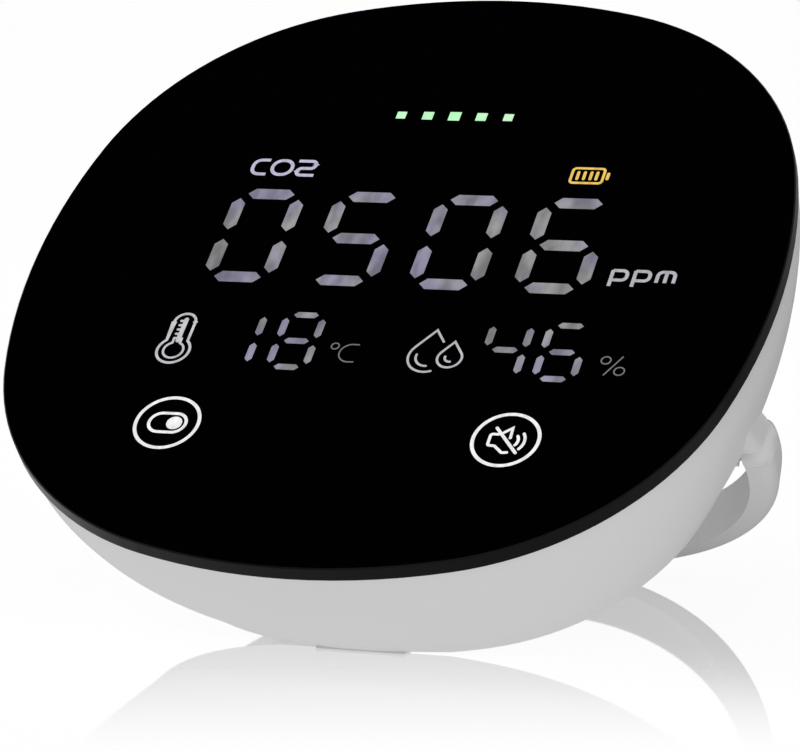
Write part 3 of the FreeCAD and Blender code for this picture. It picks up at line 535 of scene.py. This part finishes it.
# ------------------------------------------------------------------ drawing on the glass
@dataclass(frozen=True)
class Panel:
    """The glass's front face as a drawing board."""

    centre: Vector
    up: Vector
    out: Vector

    @classmethod
    def on(cls, glass: bpy.types.Object) -> "Panel":
        """Finds the drawing board from the glass itself.

        Args:
            glass: The front glass, a plate whose widest flat faces are its front and back.

        Returns:
            The panel in the middle of the face that looks up and to the front.
        """
        widest = max(glass.data.polygons, key=lambda face: face.area)
        out = widest.normal.copy() if widest.normal.z > 0 else -widest.normal
        up = out.cross(Vector((1.0, 0.0, 0.0))).normalized()
        corners = [vertex.co for vertex in glass.data.vertices]
        middle_x = (min(c.x for c in corners) + max(c.x for c in corners)) / 2
        along = [c.dot(up) for c in corners]
        middle_up = (min(along) + max(along)) / 2
        front = max(c.dot(out) for c in corners)
        centre = Vector((middle_x, 0.0, 0.0)) + up * middle_up + out * front
        return cls(centre, up, out)

    def lowered(self, drop: float) -> "Panel":
        """The same board with its centre moved down the glass by a drop in millimetres."""
        return Panel(self.centre - self.up * (drop * MM), self.up, self.out)

    def at(self, right: float, up: float, out: float = 0.0) -> Vector:
        """A point of the panel frame, given in millimetres, in the row frame."""
        return self.centre + (Vector((right, 0.0, 0.0)) + self.up * up + self.out * out) * MM


def arc(centre: Point, radius: float, start: float, end: float, step: float = 12.0) -> Path:
    """Points along an arc.

    Args:
        centre: The arc's centre.
        radius: Its radius.
        start: Where it starts, in degrees.
        end: Where it ends, in degrees; below the start it runs clockwise.
        step: Degrees between points, at most.

    Returns:
        The points, with both ends.
    """
    count = max(1, math.ceil(abs(end - start) / step))
    angles = [math.radians(start + (end - start) * n / count) for n in range(count + 1)]
    return [(centre[0] + radius * math.cos(a), centre[1] + radius * math.sin(a)) for a in angles]


def rounded(points: Path, radius: float, closed: bool = False) -> Path:
    """A polyline with rounded corners.

    Args:
        points: The corners.
        radius: The rounding, made smaller where a side is too short for it.
        closed: Whether the last corner joins the first.

    Returns:
        The points of the rounded line.
    """
    line: Path = []
    count = len(points)
    for number, corner in enumerate(points):
        if not closed and number in (0, count - 1):
            line.append(corner)
            continue
        before = Vector(points[number - 1]) - Vector(corner)
        after = Vector(points[(number + 1) % count]) - Vector(corner)
        half = before.angle(after) / 2
        cut = min(radius / math.tan(half), before.length / 2, after.length / 2)
        fitted = cut * math.tan(half)
        middle = Vector(corner) + (before.normalized() + after.normalized()).normalized() * (
            fitted / math.sin(half))
        start = Vector(corner) + before.normalized() * cut - middle
        end = Vector(corner) + after.normalized() * cut - middle
        first = math.degrees(math.atan2(start.y, start.x))
        turn = (math.degrees(math.atan2(end.y, end.x)) - first + 180) % 360 - 180
        line += arc((middle.x, middle.y), fitted, first, first + turn)
    return line


@dataclass
class FlatArt:
    """Thin prisms that lie on the glass, gathered into one mesh."""

    panel: Panel
    sink: float = 0.0               # how deep the art starts below the glass's front, in mm
    height: float = 0.04
    step: float = 0.001             # added to the height of each next shape
    vertices: list[Vector] = field(default_factory=list)
    faces: list[tuple[int, ...]] = field(default_factory=list)
    shapes: int = 0

    def _level(self) -> float:
        """The height of the next shape, so that no two tops share a plane."""
        self.shapes += 1
        return self.height + self.step * self.shapes

    def strip(self, left: Path, right: Path, closed: bool) -> None:
        """A prism between two lines with as many points.

        Args:
            left: The line on one side.
            right: The line on the other side.
            closed: Whether the strip closes into a ring.
        """
        level = self._level()
        start = len(self.vertices)
        count = len(left)
        for a, b in zip(left, right):
            self.vertices += [self.panel.at(*a, level), self.panel.at(*b, level),
                              self.panel.at(*b, -self.sink), self.panel.at(*a, -self.sink)]
        for number in range(count if closed else count - 1):
            here = start + 4 * number
            there = start + 4 * ((number + 1) % count)
            for side in range(4):
                beside = (side + 1) % 4
                self.faces.append((here + side, here + beside, there + beside, there + side))
        if not closed:
            last = start + 4 * (count - 1)
            self.faces.append((start + 3, start + 2, start + 1, start))
            self.faces.append((last, last + 1, last + 2, last + 3))

    def stroke(self, path: Path, width: float, closed: bool = False,
               ends: Ends = Ends.ROUND) -> None:
        """A line drawn with a pen of a width.

        Args:
            path: The pen's way.
            width: The pen's width.
            closed: Whether the way ends where it starts.
            ends: How an open way ends.
        """
        points = [Vector(p) for p in path]
        if closed and (points[0] - points[-1]).length < SAME_POINT:
            points.pop()
        half = width / 2
        left: Path = []
        right: Path = []
        count = len(points)
        for number, point in enumerate(points):
            before = point - points[number - 1] if closed or number else None
            after = points[(number + 1) % count] - point if closed or number < count - 1 else None
            forward = ((before or after).normalized() + (after or before).normalized()).normalized()
            lean = forward.dot((after or before).normalized())
            side = Vector((-forward.y, forward.x)) * (half / max(lean, SHARPEST))
            left.append(tuple(point + side))
            right.append(tuple(point - side))
        if not closed and ends is Ends.ROUND:
            left, right = self._round_ends(points, left, right, half)
        self.strip(left, right, closed)

    @staticmethod
    def _round_ends(points: list[Vector], left: Path, right: Path,
                    half: float) -> tuple[Path, Path]:
        """Adds half-round ends to a stroke's two sides.

        Args:
            points: The pen's way.
            left: The left side.
            right: The right side.
            half: Half the pen's width.

        Returns:
            The two sides with their ends.
        """
        ends: list[tuple[Path, Path]] = []
        for tip, inner in ((points[0], points[1]), (points[-1], points[-2])):
            out = (tip - inner).normalized()
            side = Vector((-out.y, out.x))
            ahead: Path = []
            behind: Path = []
            for turn in ROUND_END_TURNS:
                reach = out * (half * math.sin(math.radians(turn)))
                spread = side * (half * math.cos(math.radians(turn)))
                ahead.append(tuple(tip + reach + spread))
                behind.append(tuple(tip + reach - spread))
            ends.append((ahead, behind))
        (start_left, start_right), (end_left, end_right) = ends
        new_left = start_right + left + end_left[::-1]
        new_right = start_left + right + end_right[::-1]
        return new_left, new_right

    def disc(self, centre: Point, radius: float) -> None:
        """A filled circle."""
        upper = arc(centre, radius, 180, 0)
        lower = arc(centre, radius, 180, 360)
        self.strip(upper[1:-1], lower[1:-1], False)

    def ring(self, centre: Point, radius: float, width: float) -> None:
        """A circle drawn with a pen."""
        self.stroke(arc(centre, radius, 0, 360, step=6)[:-1], width, closed=True)

    def piece(self, name: str, finish: Finish, body: Body, slot: str) -> bpy.types.Object:
        """Turns the art into a piece of the monitor.

        Args:
            name: The piece's name.
            finish: Its finish.
            body: The body that it rides on.
            slot: A slot of the record; not used.

        Returns:
            The piece, in place.
        """
        mesh = bpy.data.meshes.new(name)
        mesh.from_pydata([tuple(v) for v in self.vertices], [], self.faces)
        mesh.materials.append(finish.material())
        mesh.validate()
        made = bpy.data.objects.new(name, mesh)
        bpy.context.scene.collection.objects.link(made)
        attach(made, body.value)
        return made


# ------------------------------------------------------------------ sub-assemblies
@dataclass
class Lettering:
    """The lit words and unit signs beside the readings."""

    panel: Panel
    label_pen: float = 0.58
    unit_pen: float = 0.56
    fine_pen: float = 0.2

    def gas_label(self) -> bpy.types.Object:
        """The gas's formula over the large reading, in wide, square-shouldered letters."""
        art = FlatArt(self.panel)
        top, middle, bottom = 22.8, 21.2, 19.7
        art.stroke(rounded([(-27.5, top), (-30.05, top), (-30.05, bottom), (-27.5, bottom)], 1.35),
                   self.label_pen, ends=Ends.FLAT)
        art.stroke(rounded([(-26.75, top), (-23.45, top), (-23.45, bottom), (-26.75, bottom)], 1.5,
                           closed=True), self.label_pen, closed=True)
        art.stroke(rounded([(-22.7, top), (-19.65, top), (-19.65, middle), (-22.45, middle),
                            (-22.45, bottom), (-19.45, bottom)], 0.85), self.label_pen,
                   ends=Ends.FLAT)
        finish = SymbolLight.shown("gas_label_light", 188, 184, 208)
        return art.piece("gas_label", finish, Body.HOUSING, "lit_window")

    def parts_label(self) -> bpy.types.Object:
        """The unit of the large reading, in small bold letters."""
        art = FlatArt(self.panel)
        top, bottom, tail = 1.6, -0.35, -1.6
        for stem in (34.1, 37.65):
            art.stroke([(stem, top + 0.05), (stem, tail)], self.unit_pen, ends=Ends.FLAT)
            art.stroke(rounded([(stem, top), (stem + 2.35, top), (stem + 2.35, bottom),
                                (stem, bottom)], 0.8), self.unit_pen, ends=Ends.FLAT)
        art.stroke(rounded([(41.2, bottom - 0.25), (41.2, top), (43.85, top),
                            (43.85, bottom - 0.25)], 0.8), self.unit_pen, ends=Ends.FLAT)
        art.stroke([(42.5, top), (42.5, bottom - 0.25)], self.unit_pen, ends=Ends.FLAT)
        finish = SymbolLight.shown("parts_label_light", 176, 176, 182)
        return art.piece("parts_label", finish, Body.HOUSING, "lit_window")

    def degree_sign(self) -> bpy.types.Object:
        """The unit of the temperature, in a hairline."""
        art = FlatArt(self.panel)
        art.ring((-4.9, -16.1), 0.6, self.fine_pen)
        art.stroke([(-1.2, -15.65), *arc((-2.1, -17.4), 1.78, 90, 270), (-1.2, -19.15)],
                   self.fine_pen)
        finish = SymbolLight.shown("degree_sign_light", 118, 118, 118)
        return art.piece("degree_sign", finish, Body.HOUSING, "lit_window")

    def percent_sign(self) -> bpy.types.Object:
        """The unit of the humidity, in a hairline."""
        art = FlatArt(self.panel)
        art.ring((37.6, -16.6), 0.72, self.fine_pen)
        art.ring((40.1, -18.65), 0.78, self.fine_pen)
        art.stroke([(40.0, -15.8), (37.9, -19.5)], self.fine_pen)
        finish = SymbolLight.shown("percent_sign_light", 118, 118, 118)
        return art.piece("percent_sign", finish, Body.HOUSING, "lit_window")

    def build(self) -> list[bpy.types.Object]:
        """Draws every word and unit sign."""
        return [self.gas_label(), self.parts_label(), self.degree_sign(), self.percent_sign()]


@dataclass
class Signs:
    """The lit pictures: charge, temperature and humidity."""

    panel: Panel
    outline_pen: float = 0.42
    drop_pen: float = 0.36

    def charge_sign(self) -> bpy.types.Object:
        """A battery with four bars."""
        art = FlatArt(self.panel)
        art.stroke(rounded([(22.4, 22.9), (27.5, 22.9), (27.5, 19.75), (22.4, 19.75)], 0.55,
                           closed=True), self.outline_pen, closed=True)
        art.stroke([(28.2, 20.75), (28.2, 21.85)], 0.5)
        for bar in (23.4, 24.45, 25.5, 26.45):
            art.stroke([(bar, 20.6), (bar, 22.05)], self.outline_pen + 0.05)
        finish = SymbolLight.shown("charge_sign_light", 236, 196, 96)
        return art.piece("charge_sign", finish, Body.HOUSING, "lit_window")

    def temperature_sign(self) -> bpy.types.Object:
        """A thermometer with a bulb, a column and graduations."""
        art = FlatArt(self.panel)
        axis, bulb, outer, stem = -30.5, -18.35, 2.62, 1.72
        join = math.degrees(math.acos(stem / outer))
        shoulder = bulb + outer * math.sin(math.radians(join))
        art.stroke([(axis - stem, shoulder), (axis - stem, -12.5),
                    *arc((axis, -12.5), stem, 180, 0), (axis + stem, -12.5),
                    *arc((axis, bulb), outer, join, -join - 180)],
                   self.outline_pen, closed=True)
        neck = 0.62
        inner = 1.6
        open_at = math.degrees(math.acos(neck / inner))
        art.stroke([(axis - neck, -15.9), *arc((axis, bulb), inner, 180 - open_at, 360 + open_at),
                    (axis + neck, -15.9)], self.drop_pen)
        art.stroke([(axis + 0.12, -11.95), (axis + 0.12, -16.4)], 0.72)
        for mark in range(5):
            rise = -12.3 - 0.9 * mark
            art.stroke([(axis - 0.62, rise), (axis, rise)], 0.42)
        finish = SymbolLight.shown("temperature_sign_light", 196, 196, 200)
        return art.piece("temperature_sign", finish, Body.HOUSING, "lit_window")

    def drop(self, art: FlatArt, apex: Point, centre: Point, radius: float, gap: Point) -> None:
        """One drop's outline.

        Args:
            art: The art that it is drawn in.
            apex: Its tip.
            centre: The centre of its round belly.
            radius: The belly's radius.
            gap: Lowest and highest point of a break on its right side; equal for none.
        """
        rise = apex[1] - centre[1]
        touch = math.degrees(math.acos(radius / rise))
        right = arc(centre, radius, 90 - touch, -90)
        left = arc(centre, radius, -90, -270 + touch)
        whole = [apex, *right, *left[1:]]
        if gap[0] == gap[1]:
            art.stroke(whole, self.drop_pen, closed=True)
            return
        slope = (right[0][0] - apex[0]) / (right[0][1] - apex[1])
        start = (apex[0] + slope * (gap[1] - apex[1]), gap[1])
        lower = [point for point in right if point[1] < gap[0]]
        art.stroke([*lower, *left[1:], apex, start], self.drop_pen)

    def humidity_sign(self) -> bpy.types.Object:
        """A large drop behind a small one."""
        art = FlatArt(self.panel)
        self.drop(art, (10.2, -12.0), (10.2, -17.4), 3.1, (-20.0, -14.3))
        self.drop(art, (13.6, -14.2), (13.6, -17.5), 1.9, (0.0, 0.0))
        art.stroke(arc((10.2, -17.4), 1.9, 170, 275), self.drop_pen)
        art.stroke(arc((13.7, -17.4), 0.85, 170, 280), self.drop_pen)
        finish = SymbolLight.shown("humidity_sign_light", 184, 184, 188)
        return art.piece("humidity_sign", finish, Body.HOUSING, "lit_window")

    def build(self) -> list[bpy.types.Object]:
        """Draws every picture sign."""
        return [self.charge_sign(), self.temperature_sign(), self.humidity_sign()]


@dataclass
class TouchKeys:
    """The two touch keys: a ring each, with a switch or a muted speaker in it."""

    panel: Panel
    spacing: float = 53.2
    rise: float = -33.0
    radius: float = 5.0
    ring_pen: float = 0.55
    sign_pen: float = 0.5
    line_pen: float = 0.45          # for the speaker and its waves

    def spot(self, key: Key, right: float, up: float) -> Point:
        """A point of a key, from its middle."""
        return (key.value * self.spacing / 2 + right, self.rise + up)

    def finish(self) -> SymbolLight:
        """The keys' light."""
        return SymbolLight.shown("touch_key_light", 238, 238, 238)

    def rings(self) -> bpy.types.Object:
        """Both rings, in place of the printed ones behind the glass."""
        art = FlatArt(self.panel)
        for key in Key:
            art.ring(self.spot(key, 0.0, 0.0), self.radius, self.ring_pen)
        made = art.piece("touch_ring_lights", self.finish(), Body.HOUSING, "white_print")
        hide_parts("touch_rings")
        return made

    def switch_sign(self) -> bpy.types.Object:
        """A slide switch pushed to the right."""
        art = FlatArt(self.panel)
        slot = [(-2.9, 1.87), (3.0, 1.87), (3.0, -1.87), (-2.9, -1.87)]
        art.stroke(rounded([self.spot(Key.SWITCH, *corner) for corner in slot], 1.86, closed=True),
                   self.sign_pen, closed=True)
        art.disc(self.spot(Key.SWITCH, 1.15, 0.0), 1.25)
        return art.piece("switch_sign", self.finish(), Body.HOUSING, "white_print")

    def mute_sign(self) -> bpy.types.Object:
        """A speaker struck through, with two sound waves."""
        art = FlatArt(self.panel)
        box = [(-1.3, 1.0), (-2.5, 1.0), (-2.5, -1.2), (-1.4, -1.25), (0.0, -2.5), (0.8, -2.4)]
        art.stroke(rounded([self.spot(Key.MUTE, *corner) for corner in box], 0.35), self.line_pen)
        horn = [(-0.6, 1.4), (0.5, 2.35), (0.6, 0.4)]
        art.stroke([self.spot(Key.MUTE, *corner) for corner in horn], self.line_pen)
        strike = [(-1.9, 2.2), (2.1, -2.4)]
        art.stroke([self.spot(Key.MUTE, *end) for end in strike], self.sign_pen)
        art.stroke(arc(self.spot(Key.MUTE, 0.3, -0.05), 1.6, 33, -33), self.line_pen)
        art.stroke(arc(self.spot(Key.MUTE, 0.3, -0.1), 2.6, 34, -36), self.line_pen)
        return art.piece("mute_sign", self.finish(), Body.HOUSING, "white_print")

    def build(self) -> list[bpy.types.Object]:
        """Draws the keys."""
        return [self.rings(), self.switch_sign(), self.mute_sign()]


@dataclass
class Coat:
    """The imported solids' finishes, node by node, as the record names their slots."""

    nodes: Mapping[str, bpy.types.Object]
    record: Mapping[str, object]

    def build(self) -> list[bpy.types.Object]:
        """Gives each node the finish of its slot."""
        finishes = {finish.value.slot: finish.value for finish in Finishes}
        coated = []
        for part in self.record["subparts"]:
            node = self.nodes[part["node"]]
            material = finishes[part["material_slot"]].material()
            if not node.material_slots:
                node.data.materials.append(material)
            for slot in node.material_slots:
                slot.material = material
            coated.append(node)
        return coated


# ------------------------------------------------------------------ studio
@dataclass(frozen=True)
class Lamp:
    """A soft square lamp: where it hangs, its side and its power in watts."""

    name: str
    place: tuple[float, float, float]
    size: float
    power: float

    def hang(self, aim: Vector) -> None:
        """Hangs the lamp, pointed at a place, where no gloss shows it."""
        data = bpy.data.lights.new(self.name, "AREA")
        data.shape = "SQUARE"
        data.size = self.size
        data.energy = self.power
        made = bpy.data.objects.new(self.name, data)
        bpy.context.scene.collection.objects.link(made)
        made.location = self.place
        made.visible_glossy = False
        made.rotation_euler = (aim - Vector(self.place)).to_track_quat("-Z", "Y").to_euler()


@dataclass
class Studio:
    """The pale floor, the soft lights and the camera."""

    panel: Panel
    floor_size: float = 12.0
    floor_grey: float = 0.35
    floor_glow: float = 0.78
    mirror_strength: float = 0.6
    mirror_roughness: float = 0.03
    mirror_ahead: tuple[float, float, float] = (0.357, -0.934, 0.0)     # the way it fades
    mirror_whole: float = -0.005    # how far ahead on the floor the mirror is whole
    mirror_gone: float = 0.08       # and where it has faded
    card_whole: float = -0.02       # how far back the floor lights the monitor from below
    card_gone: float = 0.14
    card_glow: float = 0.72
    sky_front: float = 0.8
    sky_behind: float = 0.25
    sky_turn: tuple[float, float] = (-0.4, 0.4)
    ceiling_turn: tuple[float, float] = (0.45, 0.85)
    ceiling_glow: float = 0.01
    lamps: tuple[Lamp, ...] = (Lamp("key_lamp", (-0.7, -0.5, 1.1), 0.9, 2.0),
                               Lamp("fill_lamp", (1.1, -0.3, 0.5), 0.8, 0.6))
    lamp_aim: tuple[float, float, float] = (0.0, 0.0, 0.05)
    camera_place: tuple[float, float, float] = (235.2, -428.0, 444.9)   # in the panel frame
    camera_forward: tuple[float, float, float] = (-0.3544, 0.9274, -0.1204)
    camera_lens: float = 197.1
    camera_sensor: float = 36.0

    @staticmethod
    def glow(sheet: Sheet, kind: str, strength: float | Wire) -> Wire:
        """White light of a strength, from an emission or a background node."""
        return sheet.node(kind, None, {"Color": WHITE, "Strength": strength})

    def floor_finish(self) -> bpy.types.Material:
        """White to the eye, with the shadow and a fading mirror; a card of light behind."""
        material = bpy.data.materials.new("studio_floor")
        sheet = Sheet(material)
        seen = sheet.node("ShaderNodeLightPath", out="Is Camera Ray")
        matt = sheet.node("ShaderNodeBsdfDiffuse", None, {"Color": (self.floor_grey,) * 3})
        glow = self.glow(sheet, "ShaderNodeEmission", self.floor_glow)
        shown = sheet.node("ShaderNodeAddShader", None, {0: matt, 1: glow})
        card = self.glow(sheet, "ShaderNodeEmission", self.card_glow)
        back = sheet.node("ShaderNodeSeparateXYZ", None, {0: sheet.place()}, out="Y")
        unseen = sheet.node("ShaderNodeMixShader", None, {
            0: back.smooth(self.card_gone, self.card_whole), 1: matt, 2: card})
        plain = sheet.node("ShaderNodeMixShader", None, {0: seen, 1: unseen, 2: shown})
        mirror = sheet.node("ShaderNodeBsdfGlossy", None, {"Color": WHITE,
                                                           "Roughness": self.mirror_roughness})
        ahead = sheet.node("ShaderNodeVectorMath", {"operation": "DOT_PRODUCT"},
                           {0: sheet.place(), 1: self.mirror_ahead}, out="Value")
        fade = ahead.smooth(self.mirror_gone, self.mirror_whole) * self.mirror_strength * seen
        sheet.surface(sheet.node("ShaderNodeMixShader", None, {0: fade, 1: plain, 2: mirror}))
        material.cycles.emission_sampling = "NONE"
        return material

    def floor(self) -> None:
        """A wide flat floor under the monitor."""
        half = self.floor_size / 2
        mesh = bpy.data.meshes.new("studio_floor")
        mesh.from_pydata([(-half, -half, 0), (half, -half, 0), (half, half, 0), (-half, half, 0)],
                         [], [(0, 1, 2, 3)])
        mesh.materials.append(self.floor_finish())
        made = bpy.data.objects.new("studio_floor", mesh)
        bpy.context.scene.collection.objects.link(made)

    def world(self) -> None:
        """White all round to the eye and through glass.

        The monitor's matt surfaces get soft light, weaker from behind, and its gloss shows white
        walls under a dark ceiling.
        """
        world = bpy.data.worlds.new("studio_world")
        bpy.context.scene.world = world
        sheet = Sheet(world)
        across = sheet.node("ShaderNodeTexCoord", out="Generated")
        ahead, rise = (sheet.node("ShaderNodeSeparateXYZ", None, {0: across}, out=axis)
                       for axis in ("Y", "Z"))
        front = 1 - ahead.smooth(*self.sky_turn)
        walls = 1 - rise.smooth(*self.ceiling_turn)
        soft = self.glow(sheet, "ShaderNodeBackground",
                         front.between(self.sky_behind, self.sky_front))
        white = self.glow(sheet, "ShaderNodeBackground", 1.0)
        glossy = self.glow(sheet, "ShaderNodeBackground", walls.between(self.ceiling_glow, 1.0))
        light_here = soft
        for path, sight in (("Is Glossy Ray", glossy), ("Is Transmission Ray", white),
                            ("Is Camera Ray", white)):
            on_path = sheet.node("ShaderNodeLightPath", out=path)
            light_here = sheet.node("ShaderNodeMixShader", None,
                                    {0: on_path, 1: light_here, 2: sight})
        sheet.surface(light_here)

    def camera(self) -> None:
        """The camera, set from the glass's own centre and tilt."""
        data = bpy.data.cameras.new("camera")
        data.lens = self.camera_lens
        data.sensor_width = self.camera_sensor
        made = bpy.data.objects.new("camera", data)
        bpy.context.scene.collection.objects.link(made)
        made.location = self.panel.at(*self.camera_place)
        made.rotation_euler = Vector(self.camera_forward).to_track_quat("-Z", "Y").to_euler()
        bpy.context.scene.camera = made

    def build(self) -> None:
        """Sets up the studio."""
        bpy.context.scene.view_settings.view_transform = "Standard"
        self.floor()
        self.world()
        for lamp in self.lamps:
            lamp.hang(Vector(self.lamp_aim))
        self.camera()


def main() -> None:
    """Dresses the monitor and sets up the studio."""
    logging.basicConfig(level=logging.INFO, format="%(name)s: %(message)s")
    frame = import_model()
    panel = Panel.on(frame["nodes"]["front_glass"])
    LOG.info("glass centre at %s", tuple(round(part, 5) for part in panel.centre))
    board = panel.lowered(ART_DROP)
    assemblies = (Coat(frame["nodes"], frame["record"]), Lettering(board), Signs(board),
                  TouchKeys(board))
    for assembly in assemblies:
        for piece in assembly.build():
            LOG.info("%s: %s, %d faces", type(assembly).__name__, piece.name,
                     len(piece.data.polygons))
    Studio(panel).build()


if __name__ == "__main__":
    main()
